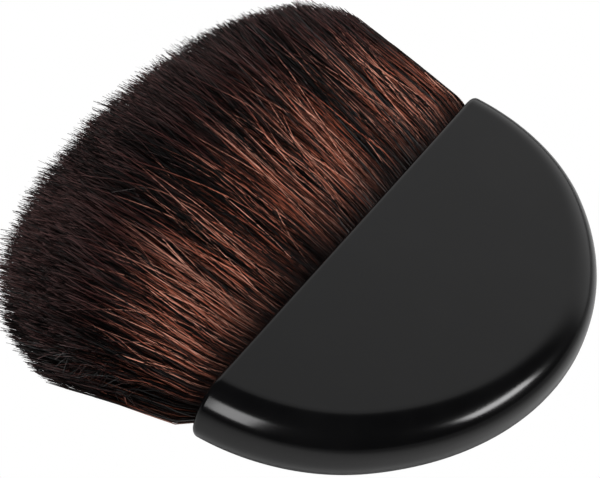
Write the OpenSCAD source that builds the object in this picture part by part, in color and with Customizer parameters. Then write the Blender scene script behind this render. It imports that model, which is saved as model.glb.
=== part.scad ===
// Half-moon powder brush: a moulded handle with a wide mouth, a cast root block and a fan of hair.
// The brush lies on its back. +X runs along the straight side, +Y towards the hair tips, +Z up.
// The table is the plane z = 0, and the origin is the middle of the handle's flat underside.

/* [Handle] */
// Width along the straight side
handle_w = 66; // [60:0.5:80]
// Depth from the mouth to the back of the curve
handle_d = 28.2; // [23:0.1:34]
// Thickness
handle_t = 7.8; // [6.4:0.1:10]
// Radius of the two side arcs of the outline, as a share of the depth
side_arc_share = 0.87; // [0.7:0.01:0.94]
// Rounding of the rim, seen in section
rim_r = 3.6; // [2.4:0.1:4.5]
// Rounding of the edge round the mouth
lip_r = 0.6; // [0.4:0.05:1]
// Wall at the two ends of the mouth and round the curve
side_wall = 2; // [1.6:0.1:2.6]
// Wall of the two flat faces
face_wall = 1.4; // [1.1:0.1:1.8]

/* [Core ribs] */
// Number of ribs behind the root block
rib_count = 3; // [2:1:4]
// Thickness of a rib
rib_t = 1.2; // [0.8:0.1:2]
// Spacing of the ribs
rib_pitch = 13; // [10:0.5:14]

/* [Root block] */
// Depth from the mouth to the rib ends that the root block seats on
socket_depth = 9.2; // [7:0.1:11]
// Depth from the mouth to the front of the root block, where the hair starts
hair_seat = 1.2; // [0.8:0.1:2]
// Glue line between the root block and the walls
glue_gap = 0.05; // [0.03:0.01:0.1]

/* [Hair] */
// Reach of the longest hair beyond the mouth
hair_reach = 33; // [28:0.1:40]
// Reach of the outermost hair beyond the mouth
side_reach = 16.6; // [13:0.1:20]
// Width of the fan at the tips of the outermost hair
fan_w = 71; // [66:0.5:86]
// Rise of the crown's tips above the middle plane
crown_rise = 13.4; // [10:0.1:16]
// Clearance left under the tuft when the brush lies down
belly_gap = 0.3; // [0.2:0.05:0.5]
// Distance that the crown's tips are trimmed back from the longest hair
crown_trim = 6.4; // [4:0.1:8]
// Sideways lean of the tips, towards -X
tip_lean = 1.2; // [0:0.1:2]
// Gap between the hair and the wall of the mouth
hair_gap = 0.3; // [0.2:0.05:0.4]
// Number of locks across the tuft
lock_count = 54; // [40:1:60]
// Height of a lock's ridge over the grooves beside it
lock_h = 0.6; // [0.3:0.05:0.9]
// Distance that the point of a lock stands out beyond its sides
lock_point = 1.2; // [0.6:0.1:1.8]

/* [Hidden] */

// Flat band that is left at mid height where two roundings meet
land = 0.1;
// The parts under the side arcs are this much thinner all round, so that no two edges coincide where they
// meet the part under the back arc: a step too small to see or feel
arc_step = 0.04;
arc_fn = 96;
mid_z = handle_t / 2;
rim = min(rim_r, mid_z - land);
// Distance from the mouth plane back to the middle of the flat underside
origin_back = (handle_d - rim + lip_r) / 2;

mouth_w = handle_w - 2 * side_wall;
mouth_t = handle_t - 2 * face_wall;
mouth_rim = mouth_t / 2 - land;

// The outline is three tangent arcs that start at the lip, in plan.
arc_depth = handle_d - lip_r;
side_arc_r = min(side_arc_share, 0.95) * min(handle_w / 2, arc_depth);
arc_x = handle_w / 2 - side_arc_r;
back_arc_r = (pow(arc_x, 2) + pow(arc_depth, 2) - pow(side_arc_r, 2)) / (2 * (arc_depth - side_arc_r));
back_arc_y = back_arc_r - arc_depth;
side_arc_angle = atan2(back_arc_y, arc_x);

// Hair
root_x = mouth_w / 2 - hair_gap;
root_h = mouth_t / 2 - hair_gap;
belly = mid_z - belly_gap;
side_sweep = fan_w / 2 - root_x;
columns = 2 * lock_count;
// Rows of points: along the outside of the tuft from root to tip, then round the domed end
shaft_rows = 10;
dome_rows = 4;
rows = shaft_rows + dome_rows;

// Half of a section across the rim: from the arc's centre out to radius r, t thick, both corners rounded
module rim_section(r, t, corner) {
    square([r - corner, t]);
    translate([0, corner]) square([r, t - 2 * corner]);
    for (z = [corner, t - corner]) translate([r - corner, z]) circle(corner, $fn = arc_fn);
}

// The region of the plan that the right half of the back arc bounds, seen from that arc's centre
module back_wedge() {
    far = 3 * handle_w;
    translate([0, back_arc_y, -handle_t]) linear_extrude(3 * handle_t)
        polygon([[0, 0], [far * cos(side_arc_angle), -far * sin(side_arc_angle)], [0, -2 * far]]);
}

// The half-moon behind the lip, grown inwards by inset, with its underside at z = base
module half_moon(inset, base, t, corner) {
    far = 3 * handle_w;
    for (side = [0, 1]) mirror([side, 0, 0]) translate([0, -lip_r, base]) intersection() {
        union() {
            difference() {
                translate([arc_x, 0, arc_step]) rotate_extrude($fn = arc_fn)
                    rim_section(side_arc_r - inset - arc_step, t - 2 * arc_step, corner - arc_step);
                back_wedge();
            }
            intersection() {
                translate([0, back_arc_y, 0])
                    rotate_extrude($fn = arc_fn) rim_section(back_arc_r - inset, t, corner);
                back_wedge();
            }
        }
        translate([0, -far, -t]) cube([far, far, 3 * t]);
    }
}

// Upright section of the mouth, w wide and t thick with rounded ends
module mouth_section(w, t, corner) {
    translate([-w / 2 + corner, 0]) square([w - 2 * corner, t]);
    translate([-w / 2, corner]) square([w, t - 2 * corner]);
    for (x = [corner - w / 2, w / 2 - corner], z = [corner, t - corner])
        translate([x, z]) circle(corner, $fn = arc_fn);
}

// The part of the core that passes through the lip
module mouth_cut() {
    translate([0, 1, face_wall]) rotate([90, 0, 0])
        linear_extrude(1 + lip_r) mouth_section(mouth_w, mouth_t, mouth_rim);
}

// Section of the lip: reach long across the front, with its outer edge rounded
module lip_section(reach) {
    square([reach - lip_r, lip_r]);
    intersection() {
        translate([reach - lip_r, 0]) circle(lip_r, $fn = arc_fn);
        square([reach, lip_r]);
    }
}

// The lip: the last lip_r of the handle before the mouth, with its outer edge rounded all the way round
module lip() {
    corner_x = handle_w / 2 - rim;
    translate([0, -lip_r, 0]) {
        for (sx = [0, 1], sz = [0, 1]) translate([0, 0, mid_z]) mirror([sx, 0, 0]) mirror([0, 0, sz])
            translate([corner_x, 0, mid_z - rim]) rotate([-90, 0, 0]) rotate([0, 0, -90])
                rotate_extrude(angle = 90, $fn = arc_fn) lip_section(rim);
        for (sz = [0, 1]) translate([0, 0, mid_z]) mirror([0, 0, sz])
            translate([-corner_x, 0, mid_z - rim]) rotate([90, 0, 90])
                linear_extrude(2 * corner_x) mirror([1, -1]) lip_section(rim);
        for (sx = [0, 1]) mirror([sx, 0, 0]) translate([0, 0, rim])
            linear_extrude(handle_t - 2 * rim) lip_section(handle_w / 2);
    }
}

// Ribs that stand between the two flat walls, from the back of the core to the root block
module ribs() {
    for (k = [0 : rib_count - 1])
        translate([(k - (rib_count - 1) / 2) * rib_pitch - rib_t / 2, -handle_d, 0])
            cube([rib_t, handle_d - socket_depth, handle_t]);
}

module handle() {
    color([0.05, 0.05, 0.055])
    translate([0, origin_back, 0])
    difference() {
        union() {
            half_moon(0, 0, handle_t, rim);
            lip();
        }
        difference() {
            half_moon(side_wall, face_wall, mouth_t, mouth_rim);
            ribs();
        }
        mouth_cut();
    }
}

// Cast block that binds the hair roots. It fills the mouth's width and seats on the rib ends.
module root_block() {
    color([0.16, 0.1, 0.07])
    translate([0, origin_back, 0])
    intersection() {
        half_moon(side_wall + glue_gap, face_wall + glue_gap, mouth_t - 2 * glue_gap, mouth_rim - glue_gap);
        translate([-handle_w, -socket_depth, 0]) cube([2 * handle_w, socket_depth - hair_seat, handle_t]);
    }
}

// Same value between 0 and 1 for the same lock and seed
function vary(k, seed) = let (a = sin(k * 97.3 + seed * 31.7) * 57.13) a - floor(a);
function ease(a) = let (b = max(0, min(1, a))) b * b * (3 - 2 * b);

// How far along its free length a row is: the first row sits on the root block, the second in the mouth
function along(row) = row < 1 ? 0 : min(1, (row - 1) / (shaft_rows - 1));
// How far out of the middle plane a row is: 1 on the outside of the tuft, less round the domed end
function layer(row) = row <= shaft_rows ? 1 : cos(84 * (row - shaft_rows) / dome_rows);
// Height of a section over its width: full at the root, a dome on the crown and flatter underneath
function root_round(u) = sqrt(max(0, 1 - pow(abs(u), 20)));
function crown_round(u) = sqrt(max(0, 1 - pow(abs(u), 1.9)));
function belly_round(u) = sqrt(max(0, 1 - pow(abs(u), 9)));
// The tips are trimmed to a half ellipse in plan
function tip_reach(u) = side_reach + (hair_reach - side_reach) * sqrt(max(0, 1 - u * u));
// Odd columns are the ridges of the locks, even columns the grooves between them
function is_ridge(col) = col % 2 == 1;
function ridge(col) = is_ridge(col) ? lock_h * (0.4 + 0.6 * vary(col, 1)) : -lock_h * 0.6 * vary(col, 2);
function point_out(col) = is_ridge(col) ? lock_point * (0.2 + 0.6 * vary(col, 3)) : -lock_point * 0.6 * vary(col, 4);
function sway(col) = 0.5 * (vary(floor(col / 2), 5) - 0.5);

// Point on the tuft for a column and row, on the crown (side = 1) or the underside (side = -1)
function hair_point(col, row, side) = let (
    u = 2 * col / columns - 1,
    s = along(row),
    w = layer(row),
    inner = 1 - pow(abs(u), 10),
    trim = crown_trim * pow(w, 2.2) * tip_reach(u) / hair_reach,
    reach = tip_reach(u) - trim + point_out(col) * inner,
    open = side > 0
        ? (crown_rise - root_h - lock_h) * s * crown_round(u) + ridge(col) * ease(s * 3) * inner
        : (belly - root_h - lock_h) * s * belly_round(u) + ridge(col) * ease(s * 3) * inner
) [
    (root_x + side_sweep * s) * u + (sway(col) * s - tip_lean * s * s) * inner,
    row < 1 ? -hair_seat : reach * s,
    mid_z + side * w * (root_h * root_round(u) + open)
];

ring = 2 * columns;
// Once round a section: across the top from end to end, then back underneath
function ring_point(i, row) = i <= columns ? hair_point(i, row, 1) : hair_point(ring - i, row, -1);

module bristles() {
    points = [for (row = [0 : rows], i = [0 : ring - 1]) ring_point(i, row)];
    last = rows * ring;
    root_face = [[for (i = [0 : ring - 1]) i]];
    sides = [for (row = [0 : rows - 1], i = [0 : ring - 1]) let (
        a = row * ring + i, b = row * ring + (i + 1) % ring, c = b + ring, d = a + ring
    ) each [[a, d, c], [a, c, b]]];
    tips = [for (i = [0 : columns - 1]) let (
        a = last + i, b = last + i + 1, c = last + (ring - i - 1) % ring, d = last + (ring - i) % ring
    ) each i == 0 ? [[a, c, b]] : i == columns - 1 ? [[a, d, b]] : [[a, d, c], [a, c, b]]];
    color([0.2, 0.1, 0.07])
    translate([0, origin_back, 0])
    polyhedron(points, concat(root_face, sides, tips), convexity = 8);
}

handle();
root_block();
bristles();
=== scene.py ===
# %% [markdown]
# # A half-moon powder brush in Blender
#
# A compact powder brush has two visible things: a glossy black moulded handle shaped like a half moon, and a
# wide flat fan of natural hair that comes out of its straight side. The handle is easy in form and hard in
# light, because black plastic shows only what it reflects. The hair is the opposite: its light is simple, and
# its look comes from tens of thousands of strands that gather in locks. The large sizes are measured from the
# CAD model, and the small ones, such as roundings and the bend of the hair, are given where they are used.

# %% Load the frame and the tools
import math
import bpy
import numpy as np
from mathutils import Matrix, Vector


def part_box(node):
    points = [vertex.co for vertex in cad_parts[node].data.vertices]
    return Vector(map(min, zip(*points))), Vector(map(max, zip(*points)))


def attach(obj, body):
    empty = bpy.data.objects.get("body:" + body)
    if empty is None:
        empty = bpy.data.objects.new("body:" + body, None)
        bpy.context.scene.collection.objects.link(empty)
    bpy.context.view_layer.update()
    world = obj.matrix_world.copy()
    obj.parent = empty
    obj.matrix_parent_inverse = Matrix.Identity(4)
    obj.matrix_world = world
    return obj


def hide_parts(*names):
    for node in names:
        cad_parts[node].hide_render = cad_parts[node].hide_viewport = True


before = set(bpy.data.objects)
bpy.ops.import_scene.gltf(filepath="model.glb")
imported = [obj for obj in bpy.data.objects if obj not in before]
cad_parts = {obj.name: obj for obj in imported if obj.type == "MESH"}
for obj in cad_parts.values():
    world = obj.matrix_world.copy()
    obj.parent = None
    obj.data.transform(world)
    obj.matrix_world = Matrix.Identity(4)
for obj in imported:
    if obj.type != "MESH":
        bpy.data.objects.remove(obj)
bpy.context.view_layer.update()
MM = 0.001
handle_lo, handle_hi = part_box("handle")
hair_lo, hair_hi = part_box("bristles")
mouth_y = handle_hi.y
mid_z = (handle_lo.z + handle_hi.z) / 2
print("handle", [round(v / MM, 2) for v in handle_hi - handle_lo], "mm")
print("hair", [round(v / MM, 2) for v in hair_hi - hair_lo], "mm, mouth at y =", round(mouth_y / MM, 2))

# %% [markdown]
# ## Shader maths as plain expressions
#
# Materials here are written as sums and products. One small class wraps a socket, so that `a * b + 0.2` adds
# the maths nodes for us, and `1 - a` works too. Colours are mixed with a Mix node, because a Math node would
# turn them grey. It keeps each finish readable in one glance.

# %% Add any node, and do sums with its sockets
def add_node(tree, kind, settings=None, **sockets):
    """A new node: its settings first, then a value or a link for each socket. in0 is the first socket."""
    node = tree.nodes.new(kind)
    for key, value in (settings or {}).items():
        setattr(node, key, value)
    for key, value in sockets.items():
        slot = node.inputs[int(key[2:]) if key.startswith("in") else key.replace("_", " ")]
        if isinstance(value, Val):
            tree.links.new(value.socket, slot)
        else:
            slot.default_value = value
    return node


class Val:
    """One output socket of a node tree, with arithmetic."""

    def __init__(self, tree, socket):
        self.tree = tree
        self.socket = socket

    def math(self, operation, first, second):
        node = add_node(self.tree, "ShaderNodeMath", {"operation": operation}, in0=first, in1=second)
        return Val(self.tree, node.outputs[0])

    def __add__(self, other):
        return self.math("ADD", self, other)

    def __radd__(self, other):
        return self.math("ADD", other, self)

    def __sub__(self, other):
        return self.math("SUBTRACT", self, other)

    def __rsub__(self, other):
        return self.math("SUBTRACT", other, self)

    def __mul__(self, other):
        return self.math("MULTIPLY", self, other)

    def __rmul__(self, other):
        return self.math("MULTIPLY", other, self)

    def __truediv__(self, other):
        return self.math("DIVIDE", self, other)

    def __rtruediv__(self, other):
        return self.math("DIVIDE", other, self)

    def __pow__(self, other):
        return self.math("POWER", self, other)

    def __rpow__(self, other):
        return self.math("POWER", other, self)

    def smooth(self, low, high):
        """0 below low, 1 above high, with a soft passage between."""
        node = add_node(self.tree, "ShaderNodeMapRange", {"interpolation_type": "SMOOTHSTEP"},
                        Value=self, From_Min=low, From_Max=high)
        return Val(self.tree, node.outputs["Result"])

# %% [markdown]
# ## A finish is a small node tree
#
# A material and the world are written in the same way: clear the nodes, add what is needed, and link the last
# shader to the output. The class below does that for both, with short names for the nodes used most.

# %% A finish being written
class Finish:
    """The nodes of a material or a world, from an empty tree until done() links the last shader."""

    def __init__(self, owner, output="ShaderNodeOutputMaterial"):
        owner.use_nodes = True
        self.owner = owner
        self.tree = owner.node_tree
        self.tree.nodes.clear()
        self.output = add_node(self.tree, output)

    def add(self, kind, settings=None, out=0, **sockets):
        return Val(self.tree, add_node(self.tree, kind, settings, **sockets).outputs[out])

    def parts(self, vector):
        """The x, y and z of a vector."""
        node = add_node(self.tree, "ShaderNodeSeparateXYZ", in0=vector)
        return [Val(self.tree, socket) for socket in node.outputs]

    def join(self, x, y, z=0.0):
        return self.add("ShaderNodeCombineXYZ", in0=x, in1=y, in2=z)

    def mix(self, amount, low, high):
        """A colour between low and high."""
        return self.add("ShaderNodeMix", {"data_type": "RGBA"}, out=2, in0=amount, in6=low, in7=high)

    def noise(self, vector, scale, detail=3.0, rough=0.5):
        return self.add("ShaderNodeTexNoise", Vector=vector, Scale=scale, Detail=detail, Roughness=rough)

    def bump(self, height, strength, distance):
        return self.add("ShaderNodeBump", Height=height, Strength=strength, Distance=distance)

    def done(self, shader):
        self.tree.links.new(shader.socket, self.output.inputs["Surface"])
        return self.owner


def rgb(r, g, b):
    """A colour given as a display value from 0 to 255, in the linear light that shaders use."""
    linear = [c / 255 / 12.92 if c <= 10 else ((c / 255 + 0.055) / 1.055) ** 2.4 for c in (r, g, b)]
    return (*linear, 1.0)

# %% [markdown]
# ## The handle's plastic
#
# The handle is moulded in black acrylic or ABS and polished in the tool, so it is almost a mirror with a very
# dark body. Two small things stop it looking like computer graphics: a slow ripple from the moulding, and a
# roughness that is not the same everywhere, because fingers have been on it.

# %% Gloss black plastic
def gloss_black():
    f = Finish(bpy.data.materials.new("gloss black plastic"))
    place = f.add("ShaderNodeTexCoord", out="Object")
    wear = f.noise(place, scale=90.0, detail=4.0, rough=0.6)
    ripple = f.noise(place, scale=45.0, detail=1.0)
    grain = f.noise(place, scale=2600.0, detail=2.0)
    polished, worn = (0.0014, 0.0014, 0.0016, 1), (0.0026, 0.0026, 0.0028, 1)
    body = f.mix(wear.smooth(0.35, 0.75), polished, worn)
    normal = f.bump(ripple + grain * 0.015, strength=0.35, distance=0.12 * MM)
    return f.done(f.add("ShaderNodeBsdfPrincipled", Base_Color=body, Roughness=0.13 + wear * 0.08, IOR=1.5,
                        Normal=normal))

# %% [markdown]
# ## The outline of the handle
#
# Seen from above, the outline is three arcs that run into each other: one at each side and a flatter one at
# the back. Two arcs meet without a kink when their centres lie on one line with the point where they touch.
# That condition gives the radius of the back arc, once the width, the depth and the side radius are chosen.

# %% Three arcs
half_w = (handle_hi.x - handle_lo.x) / 2
depth = handle_hi.y - handle_lo.y
thick = handle_hi.z - handle_lo.z
lip_r = 0.6 * MM
rim_r = 3.6 * MM
skin_depth = depth - lip_r
side_r = 0.87 * skin_depth
side_x = half_w - side_r
back_r = (side_x ** 2 + skin_depth ** 2 - side_r ** 2) / (2 * (skin_depth - side_r))
back_y = back_r - skin_depth
turn = math.atan2(back_y, side_x)


def outline(steps=120):
    """Arc centres and outward directions with radius, from the +X end of the mouth to the -X end."""
    side = np.linspace(0, turn, steps // 4)
    back = np.linspace(turn, math.pi - turn, steps // 2)[1:-1]
    arcs = [((side_x, 0), side_r, side),
            ((0, back_y), back_r, back),
            ((-side_x, 0), side_r, math.pi - side[::-1])]
    centres = [centre for centre, _, angles in arcs for _ in angles]
    outs = [(math.cos(a), -math.sin(a), radius) for _, radius, angles in arcs for a in angles]
    return np.array(centres), np.array(outs)


print("side arcs", round(side_r / MM, 2), "mm, back arc", round(back_r / MM, 2), "mm")

# %% [markdown]
# ## The rim
#
# In section the rim is nearly a full round. We sweep that section along the outline as one smooth skin, so that
# highlights run round the rim without a break. The section reaches a little way into the two flat faces, and
# strips straight across join its two ends.

# %% Sweep the rim along the outline
def rim_profile(steps=14):
    """The section: distance in from the outline, and height, from the top face round to the underside."""
    quarter = np.linspace(0, math.pi / 2, steps)
    across, up = rim_r * (1 - np.sin(quarter)), rim_r * (1 - np.cos(quarter))
    top = np.stack([across, thick - up], -1)
    low = np.stack([up, across], -1)
    far, near = rim_r + 2.0 * MM, rim_r + 0.5 * MM
    return np.concatenate([[(far, thick), (near, thick)], top, low, [(near, 0.0), (far, 0.0)]])


def handle_skin():
    """Points and faces of the skin, with the count of sections and of points in each."""
    centres, outs = outline()
    profile = rim_profile()
    n, m = len(centres), len(profile)
    points = np.zeros((n, m, 3))
    for j, (inward, z) in enumerate(profile):
        points[:, j, :2] = centres + outs[:, :2] * (outs[:, 2] - inward)[:, None]
        points[:, j, 2] = z
    points[:, :, 1] += mouth_y - lip_r
    faces = []
    for i in range(n - 1):
        for j in range(m - 1):
            a, b = i * m + j, (i + 1) * m + j
            faces.append((a, a + 1, b + 1, b))
    # The two flat faces: strips straight across between the two halves of the rim
    for j, flip in ((0, False), (m - 1, True)):
        for i in range(n // 2 - 1):
            a, b, c, d = i * m + j, (i + 1) * m + j, (n - 2 - i) * m + j, (n - 1 - i) * m + j
            faces.append((d, c, b, a) if flip else (a, b, c, d))
    return points.reshape(-1, 3), faces, n, m

# %% [markdown]
# ## The lip and the mouth
#
# The straight side has its own small rounding. We take the loop of points where the skin ends and step it
# forward and inward along a quarter circle. From there the front wall steps in to the slot, and the slot runs
# back to the hair roots. Each step is one more loop, stitched to the loop before it.

# %% Loops round the mouth
wall_x, wall_z, mouth_depth = 2.0 * MM, 1.4 * MM, 2.5 * MM


def front_lip(ring, steps=6):
    """The small rounding: loops that step from the skin's end forward and inward."""
    upper = ring[:, 2] > thick / 2
    side = np.sign(ring[:, 0]) * np.clip(np.abs(ring[:, 0]) - (half_w - rim_r), 0, None)
    high = np.where(upper, np.maximum(ring[:, 2] - (thick - rim_r), 0), np.minimum(ring[:, 2] - rim_r, 0))
    outward = np.stack([side, np.zeros_like(side), high], -1)
    outward /= np.maximum(np.linalg.norm(outward, axis=1, keepdims=True), 1e-9)
    loops = []
    for a in np.linspace(0, math.pi / 2, steps + 1)[1:]:
        ahead = np.array([0, lip_r * math.sin(a), 0])
        loops.append(ring + ahead - outward * lip_r * (1 - math.cos(a)))
    return loops


def mouth_loops(front):
    """The edge of the slot, and the same loop at the depth of the roots."""
    edge = front.copy()
    edge[:, 0] *= (half_w - wall_x) / (half_w - lip_r)
    edge[:, 2] = thick / 2 + (front[:, 2] - thick / 2) * ((thick / 2 - wall_z) / (thick / 2 - lip_r))
    deep = edge.copy()
    deep[:, 1] -= mouth_depth
    return [edge, deep]


def build_handle():
    points, faces, n, m = handle_skin()
    last = list(range(m)) + list(range((n - 1) * m, n * m))[::-1]
    loops = front_lip(points[last])
    loops += mouth_loops(loops[-1])
    count = len(last)
    for step in range(len(loops)):
        base = len(points) + step * count
        now = list(range(base, base + count))
        for i in range(count):
            k = (i + 1) % count
            faces.append((last[i], last[k], now[k], now[i]))
        last = now
    return np.concatenate([points] + loops), faces

# %% [markdown]
# ## From points to a piece
#
# Arrays are the quickest way to make a large mesh: all points, face corners and stored numbers are handed over
# at once. Every piece made here rides with the brush and has the slot of its material. The handle is smooth,
# apart from the edges where its faces meet at more than 28 degrees.

# %% Make the handle
def mesh_piece(name, points, faces, finish, uv=None):
    """A mesh object from arrays in metres, that rides with the brush."""
    faces = np.asarray(faces, np.int32)
    corners = faces.ravel()
    mesh = bpy.data.meshes.new(name)
    mesh.vertices.add(len(points))
    mesh.vertices.foreach_set("co", np.asarray(points, np.float32).ravel())
    mesh.loops.add(len(corners))
    mesh.loops.foreach_set("vertex_index", corners)
    mesh.polygons.add(len(faces))
    mesh.polygons.foreach_set("loop_start", np.arange(len(faces), dtype=np.int32) * faces.shape[1])
    if uv is not None:
        layer = mesh.uv_layers.new(name="OFBake")
        layer.data.foreach_set("uv", np.asarray(uv, np.float32)[corners].ravel())
    mesh.update()
    mesh.validate()
    mesh.shade_smooth()
    obj = bpy.data.objects.new(name, mesh)
    bpy.context.scene.collection.objects.link(obj)
    obj.data.materials.append(finish)
    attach(obj, "root")
    return obj


handle_points, handle_faces = build_handle()
handle = mesh_piece("handle_skin", handle_points, handle_faces, gloss_black())
handle.data.set_sharp_from_angle(angle=math.radians(28))
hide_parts("handle")
print("handle skin:", len(handle_faces), "faces")

# %% [markdown]
# ## The colour of the hair
#
# The brush is filled with natural hair. It is chestnut just past the plastic and almost black over its outer
# third, with a touch of grey-brown at the very tips that is partly painted glints. Where it leaves the plastic
# it is darkened in a band of painted shade from the edge of the handle. Each strand has its own tone.
# We store two numbers for every strand: its tone, and how far along it a point is. The material works out the
# colour from those two numbers alone, so thousands of strands share one simple finish.

# %% Natural hair
def hair_finish():
    f = Finish(bpy.data.materials.new("natural hair"))
    tone, along, _ = f.parts(f.add("ShaderNodeUVMap", {"uv_map": "OFBake"}))
    streak = f.noise(f.join(tone * 60.0, along * 4.0), scale=1.0, detail=2.0)
    uneven = streak - 0.5
    # From strand to strand: dark ones, chestnut ones, and a few paler ones that are painted glints
    warm = (tone + uneven * 0.3).smooth(0.34, 1.06)
    root = f.mix(warm, rgb(9, 6, 6), rgb(168, 94, 72))
    # Painted glints: the palest strands are lightened towards a grey-pink
    root = f.mix(tone.smooth(0.84, 0.99) * 0.5, root, rgb(204, 160, 142))
    outer = f.mix(warm, rgb(3, 2, 2), rgb(66, 36, 34))
    # Along each strand: painted shade in a dark band at the plastic, the fade to near black, and the grey-brown
    # tip, partly painted glints
    fade = (along + uneven * 0.3 - tone * 0.5).smooth(0.02, 0.40)
    shaft = f.mix(fade, root, outer)
    # Painted shade: the strands are darkened near the root, where the edge of the handle shades them
    shaft_with_root_shade = f.mix((along + uneven * 0.12).smooth(0.04, 0.34), rgb(10, 6, 6), shaft)
    # The grey-brown tips are partly the hair's own colour and partly painted glints
    tip = along.smooth(0.82, 1.0) * (tone + uneven * 0.6).smooth(0.1, 0.8)
    colour = f.mix(tip * 0.45, shaft_with_root_shade, rgb(84, 68, 67))
    return f.done(f.add("ShaderNodeBsdfPrincipled", Base_Color=colour, Roughness=0.34 + streak * 0.1,
                        IOR=1.45, Specular_IOR_Level=0.3))

# %% [markdown]
# ## The shape of the fan
#
# Hair leaves the slot straight and spreads both sideways and upwards, so the crown of the tuft stands twice as
# high as the handle. Underneath, the table has pressed it flat. The tips are trimmed along a half ellipse in
# plan, and the crown is trimmed shorter than the middle, which gives the soft domed end. One function places
# any point of the fan: `across` runs from -1 at one end of the mouth to 1 at the other, `layer` from -1 at the
# underside to 1 at the crown, and `along` from 0 at the root to 1 at the tip.

# %% Place a point in the fan
# Half the width at the root and at the tip, and how far behind the mouth the hair starts
root_x = half_w - 2.3 * MM
tip_x = (hair_hi.x - hair_lo.x) / 2 - 0.5 * MM
seat = hair_lo.y - mouth_y
side_reach, hair_reach = 16.6 * MM, 31.5 * MM
root_h, crown_rise, belly = 2.2 * MM, 12.6 * MM, 3.5 * MM
crown_trim, tip_lean, flare = 6.4 * MM, 1.2 * MM, 1.3 * MM
table_gap = 0.25 * MM
# Powers for the dome, from an oval to one that is nearly square, and a power for what sets in late
oval, soft_oval, blunt, nearly_square = 2, 1.9, 20, 60
late = 2.2
sweep, sweep_from = 0.20, 0.4
quick_sag = 0.75


def dome(across, power):
    """1 in the middle and 0 at the two ends. A higher power keeps it full for longer."""
    return np.sqrt(np.clip(1 - np.abs(np.clip(across, -1, 1)) ** power, 0, 1))


def fan(across, layer, along):
    """Points of the fan in metres. along may pass 1 a little, for the longest hairs."""
    reach = side_reach + (hair_reach - side_reach) * dome(across, oval)
    reach = reach - crown_trim * np.abs(layer) ** late * reach / hair_reach
    root = root_h * dome(across, blunt)
    above = (crown_rise - root_h) * dome(across, soft_oval) * along
    # Below the middle the hair comes down to the table mostly within a fifth of its length
    sag = quick_sag * np.minimum(along * 5, 1) + (1 - quick_sag) * along
    below = (belly - root) * dome(across, nearly_square) * sag
    # Where across is below sweep_from, the locks lean towards the -X end as they grow
    lean = sweep * np.clip(sweep_from - across, 0, None) * np.clip(1 + across, 0, None)
    swept = across - lean * along ** late
    # Just past the mouth the fan is a little wider than a straight line from root to tip
    opening = flare * np.minimum(along * 6, 1) * (1 - along)
    x = (root_x + (tip_x - root_x) * along + opening) * swept - tip_lean * along ** 2
    y = mouth_y + seat + (reach - seat) * along
    z = mid_z + layer * (root + np.where(layer > 0, above, below))
    return np.stack([x, y, np.maximum(z, table_gap)], -1)


middle_tip = fan(np.array(0.0), np.array(0.0), np.array(1.0))
print("tip of the middle strand at", (middle_tip / MM).round(2), "mm")

# %% [markdown]
# ## Locks
#
# Real hair never lies evenly. Neighbouring strands stick together in thin locks that taper to a point, lean a
# little to one side and cross each other. So we draw the locks first: where each one stands, how long it is,
# how it bends and waves, how tightly it gathers at its end, and how dark it is. Slow waves of tone across the
# fan make some neighbours dark together.

# %% Draw the locks
rng = np.random.default_rng(11)
lock_total = 1500
per_lock = 29
upper_share, outer_crowding = 0.69, 1.7
row_share = 0.985
broad_patch, broad_beat = 0.26, 9.0
fine_patch, fine_beat = 0.24, 23.0
lock_bend, lock_lift, lock_wave = 0.036, 0.06, 0.012


def make_locks(total):
    """One number for each lock and each of its habits."""
    across = (np.arange(total) + rng.uniform(0.1, 0.9, total)) / total * 2 - 1
    across = rng.permutation(across) * row_share
    side = np.where(rng.random(total) < upper_share, 1.0, -1.0)
    layer = side * (1 - rng.random(total) ** outer_crowding)
    patch = 0.5 + broad_patch * np.sin(across * broad_beat + 0.8)
    patch = patch + fine_patch * np.sin(across * fine_beat + layer * 3.0)
    return {
        "across": across,
        "layer": layer,
        "length": np.clip(rng.normal(0.99, 0.014, total), 0.9, 1.02),
        "bend": rng.normal(0, lock_bend, total),
        "tone": np.clip(patch * 0.30 + rng.normal(0.0, 0.08, total), 0, 1),
        "gather": rng.uniform(0.3, 0.9, total),
        "lift": rng.normal(0, lock_lift, total),
        "wave": rng.normal(0, lock_wave, total),
        "beat": rng.uniform(0.7, 1.5, total),
        "start": rng.random(total),
    }


locks = make_locks(lock_total)
print(lock_total, "locks,", int((locks["layer"] > 0).sum()), "of them above the middle")

# %% [markdown]
# ## Strands
#
# Each strand has a place in its lock and small habits of its own, and about one in eleven strays further. The
# strands of a lock start spread out and draw together towards the tip. Some are shorter, mostly near the crown
# and the underside, so that tips show all over the dome and not only at its edge. At the two ends of the fan
# the strands wander less, which keeps those two corners clean.

# %% Grow the strands
strand_points = 11
stray_share = 0.09
lock_width, lock_height = 0.020, 0.09
own_sway, stray_sway = 0.055, 0.13
own_wave, stray_wave = 0.022, 0.034
own_rise, stray_lift = 0.035, 0.05
length_spread, shortest = 0.012, 0.32
end_hold, end_fray = 0.85, 0.02
lowest, low_middle, crown_limit = -1.0, -0.72, 1.06
# Powers along the strand: a low one acts from the root on, and a high one mostly at the tip
wave_power, sway_power, gather_power, bend_power = 0.5, 1.2, 1.4, 1.5
full_turn = 2 * np.pi


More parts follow.
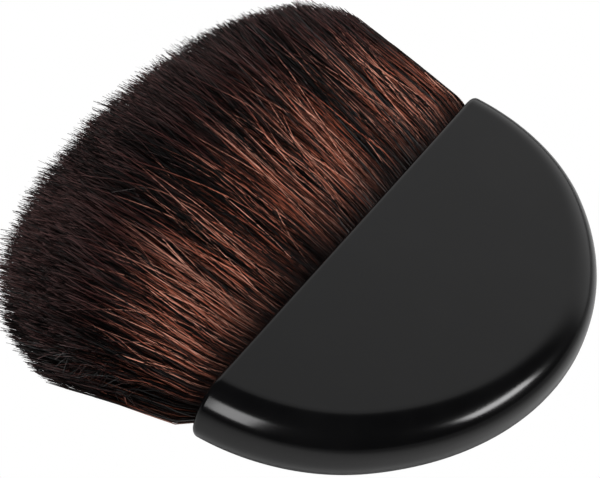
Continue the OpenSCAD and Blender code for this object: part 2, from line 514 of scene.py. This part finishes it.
def make_strands(locks, per_lock):
    """The points of every strand, and its tone."""
    own = {habit: np.repeat(value, per_lock)[:, None] for habit, value in locks.items()}
    n = len(own["across"])
    s = np.linspace(0, 1, strand_points)[None, :]
    beside = rng.normal(0, lock_width, (n, 1))
    over = rng.normal(0, lock_height, (n, 1))
    gather = 1 - own["gather"] * s ** gather_power
    short = rng.random((n, 1)) ** 5 * shortest * np.clip(np.abs(own["layer"]), 0, 1)
    length = own["length"] * np.clip(rng.normal(1.0, length_spread, (n, 1)), 0.9, 1.03) - short
    stray = rng.random((n, 1)) < stray_share
    sway = np.where(stray, rng.normal(0, stray_sway, (n, 1)), rng.normal(0, own_sway, (n, 1)))
    wave = np.where(stray, stray_wave, own_wave) * rng.random((n, 1))
    beat, start = rng.uniform(0.6, 2.3, (n, 1)), rng.uniform(0, 1, (n, 1))
    # Sideways: a place in the lock, then bend, sway, the strand's wave and the lock's wave
    drift = own["bend"] * s ** bend_power + sway * s ** sway_power
    drift = drift + wave * np.sin(full_turn * (beat * s + start)) * s ** wave_power
    drift = drift + own["wave"] * np.sin(full_turn * (own["beat"] * s + own["start"])) * s ** wave_power
    free = 1 - end_hold * np.abs(own["across"]) ** 5
    across = own["across"] + beside * gather * free + drift * free
    edge = 1 + end_fray * np.abs(rng.normal(0, 1, (n, 1))) * s
    across = np.clip(across, -edge, edge)
    # Up and down: a place in the lock, the lock's lift, and a slow rise and fall of its own
    rise = rng.normal(0, own_rise, (n, 1)) * np.sin(full_turn * (beat * 0.8 * s + start * 3))
    layer = own["layer"] + over * gather + own["lift"] * s + rise * s + np.where(stray, stray_lift, 0.0) * s
    # Each strand has its own lowest layer, so that the underside isn't one flat sheet
    layer = np.clip(layer, rng.uniform(lowest, low_middle, (n, 1)), crown_limit)
    tone = np.clip(own["tone"] * 1.1 + rng.random((n, 1)) ** 2.4 * 0.95, 0.01, 0.99)
    return fan(across, layer, s * length), tone[:, 0]


strands, tones = make_strands(locks, per_lock)
print(len(strands), "strands, mean tone", round(float(tones.mean()), 2))

# %% [markdown]
# ## Ribbons
#
# A strand is drawn as a narrow ribbon, which costs a third of a tube and looks the same at this distance,
# because every ribbon is turned to its own angle. It narrows to half its width at the tip. The strands are
# sorted from the underside to the crown and shared out over five pieces.

# %% Make the hair
strand_width = 0.105 * MM


def ribbons(points, tone):
    """Ribbons along the strands: points, quads and the two stored numbers."""
    n = len(points)
    ahead = np.gradient(points, axis=1)
    ahead /= np.linalg.norm(ahead, axis=2, keepdims=True) + 1e-12
    up = np.zeros_like(points)
    up[..., 2] = 1
    side = np.cross(ahead, up)
    side /= np.linalg.norm(side, axis=2, keepdims=True) + 1e-12
    lift = np.cross(side, ahead)
    angle = rng.normal(0, 0.8, (n, 1, 1))
    s = np.linspace(0, 1, strand_points)[None, :, None]
    width = strand_width * rng.uniform(0.6, 1.3, (n, 1, 1)) * (1 - 0.5 * s ** 4)
    off = (side * np.cos(angle) + lift * np.sin(angle)) * width / 2
    both = np.stack([points - off, points + off], 2)
    first = (np.arange(n) * strand_points * 2)[:, None] + (np.arange(strand_points - 1) * 2)[None, :]
    quads = np.stack([first, first + 1, first + 3, first + 2], -1).reshape(-1, 4)
    # The stored numbers keep a little clear of 0 and 1, and the two edges of a ribbon a little apart
    u = tone[:, None, None] + np.array([-0.004, 0.004])[None, None, :]
    v = np.linspace(0.004, 0.996, strand_points)[None, :, None]
    u, v = np.broadcast_to(u, (n, strand_points, 2)), np.broadcast_to(v, (n, strand_points, 2))
    return both.reshape(-1, 3), quads, np.stack([u, v], -1).reshape(-1, 2)


order = np.argsort(np.repeat(locks["layer"], per_lock), kind="stable")
hair_look = hair_finish()
layer_names = ["hair_under", "hair_lower", "hair_middle", "hair_upper", "hair_crown"]
for name, chosen in zip(layer_names, np.array_split(order, len(layer_names))):
    points, quads, uv = ribbons(strands[chosen], tones[chosen])
    piece = mesh_piece(name, points, quads, hair_look, uv=uv)
    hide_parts("bristles")
    print(name, len(chosen), "strands,", len(quads) * 2, "triangles")

# %% [markdown]
# ## The cast root
#
# Behind the hair, inside the mouth, the roots are set in a block of resin. Only a dark line of it can be seen
# between the hair and the plastic, so the CAD shape with a dull brown finish is enough.

# %% Resin
def cast_resin():
    f = Finish(bpy.data.materials.new("cast resin"))
    cloud = f.noise(f.add("ShaderNodeTexCoord", out="Object"), scale=600.0, detail=3.0)
    colour = f.mix(cloud, rgb(22, 16, 14), rgb(52, 34, 26))
    normal = f.bump(cloud, strength=0.4, distance=0.2 * MM)
    return f.done(f.add("ShaderNodeBsdfPrincipled", Base_Color=colour, Roughness=0.6, Normal=normal))


root_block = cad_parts["root_block"]
root_block.data.materials.clear()
root_block.data.materials.append(cast_resin())
print("root block:", len(root_block.data.polygons), "faces")

# %% [markdown]
# ## The table
#
# The picture is a shop photograph on pure white. The camera alone sees the table as plain white, with no
# shadow. Every other ray meets a dull surface with a painted pool of light: mid grey under the brush, and
# darker further away, so that the rim of the handle, which mirrors the table around it, stays dark.

# %% Table
def table_top():
    f = Finish(bpy.data.materials.new("white table"))
    place = f.add("ShaderNodeTexCoord", out="Object")
    grain = f.mix(f.noise(place, scale=40.0, detail=3.0), (0.48, 0.48, 0.48, 1), (0.52, 0.52, 0.52, 1))
    oval_x, oval_y = 33.0 * MM, 15.6 * MM
    across, deep, _ = f.parts(place)
    apart = ((across / oval_x) ** 2 + (deep / oval_y) ** 2) ** 0.5
    # Painted pool of light: mid grey near the brush and darker further away, seen only in reflections and
    # bounce light
    table_grain_and_painted_pool = f.mix(apart.smooth(0.9, 2.8), grain, (0.14, 0.14, 0.14, 1))
    plain = f.add("ShaderNodeBsdfDiffuse", Color=table_grain_and_painted_pool)
    white = f.add("ShaderNodeEmission", Color=(1, 1, 1, 1), Strength=1.0)
    seen = f.add("ShaderNodeLightPath", out="Is Camera Ray")
    return f.done(f.add("ShaderNodeMixShader", in0=seen, in1=plain, in2=white))


bpy.ops.mesh.primitive_plane_add(size=6.0, location=(0, 0, 0))
floor = bpy.context.object
floor.name = "table"
floor.data.materials.append(table_top())
print("table", [round(v, 2) for v in floor.dimensions], "m")

# %% [markdown]
# ## The room
#
# Black plastic shows what stands round it. The room is almost dark, apart from a glow on the side away from
# the camera. The flat top of the handle mirrors the upper edge of that glow as a dark grey. The part of the
# rim that faces the camera mirrors the dark above it, which draws the black band.

# %% World
def studio_world():
    f = Finish(bpy.data.worlds.new("studio"), "ShaderNodeOutputWorld")
    across, deep, _ = f.parts(f.add("ShaderNodeTexCoord", out="Generated"))
    facing = across * 0.955 + deep * 0.295
    glow = facing.smooth(0.60, 0.74) * 0.46 + facing.smooth(0.74, 1.0) * 0.25 + 0.025
    return f.done(f.add("ShaderNodeBackground", Color=f.join(glow, glow, glow), Strength=1.0))


bpy.context.scene.world = studio_world()
print("world:", len(bpy.context.scene.world.node_tree.nodes), "nodes")

# %% [markdown]
# ## The lights
#
# One soft light hangs almost overhead and lights the hair. It is hidden from reflections, so that the top of
# the handle stays dark. Two softboxes make the two bright marks in the rim: a highlight sits where the rim
# mirrors a light into the camera, so moving the softbox moves the mark.

# %% Lights
light_distance = 0.8


def towards(azimuth, elevation):
    """A place for a light, seen from the brush: azimuth 0 is along -Y and 90 along +X, in degrees."""
    a, e = math.radians(azimuth), math.radians(elevation)
    return Vector((math.sin(a) * math.cos(e), -math.cos(a) * math.cos(e), math.sin(e))) * light_distance


def softbox(name, place, width, height, power, aim=(0, 0, 0)):
    data = bpy.data.lights.new(name, "AREA")
    data.shape = "RECTANGLE"
    data.size = width
    data.size_y = height
    data.energy = power
    obj = bpy.data.objects.new(name, data)
    bpy.context.scene.collection.objects.link(obj)
    obj.location = place
    obj.rotation_mode = "QUATERNION"
    obj.rotation_quaternion = (Vector(aim) - place).to_track_quat("-Z", "Y")
    print(name, [round(v, 3) for v in place], "m,", power, "W")
    return obj


key = softbox("overhead_key", towards(-120, 72), width=0.35, height=0.35, power=6.4, aim=(0, 0.02, 0))
key.visible_glossy = False
softbox("right_strip", towards(24, 27), width=0.36, height=0.16, power=1.8)
softbox("left_strip", towards(-93, 37), width=0.28, height=0.46, power=2.3)

# %% [markdown]
# ## Camera
#
# The photographer stood to the left of the brush and looked down at about 41 degrees, with a long lens and the
# camera a little turned. These values come from fitting the handle's outline and the line where the hair meets
# the plastic to the photograph.

# %% Camera
view_az, view_el, view_roll = -1.248, 0.721, 0.277
view_distance = 0.400
aim = Vector((3.58 * MM, mouth_y + 6.33 * MM, 0))
lens_mm, sensor_mm = 213.2, 36.0
level = math.cos(view_el)
back = Vector((math.sin(view_az) * level, -math.cos(view_az) * level, math.sin(view_el)))
right = (-back).cross(Vector((0, 0, 1))).normalized()
up = right.cross(-back)
roll_right = math.cos(view_roll) * right + math.sin(view_roll) * up
roll_up = -math.sin(view_roll) * right + math.cos(view_roll) * up
cam_data = bpy.data.cameras.new("camera")
cam_data.lens, cam_data.sensor_width, cam_data.sensor_fit = lens_mm, sensor_mm, "HORIZONTAL"
cam_data.clip_start, cam_data.clip_end = 0.01, 20
camera = bpy.data.objects.new("camera", cam_data)
bpy.context.scene.collection.objects.link(camera)
place = aim + back * view_distance
rows = [[roll_right[i], roll_up[i], back[i], place[i]] for i in range(3)] + [[0, 0, 0, 1]]
camera.matrix_world = Matrix(rows)
bpy.context.scene.camera = camera
bpy.context.scene.view_settings.view_transform = "Standard"
print("camera looks down at", round(math.degrees(view_el), 1), "degrees")
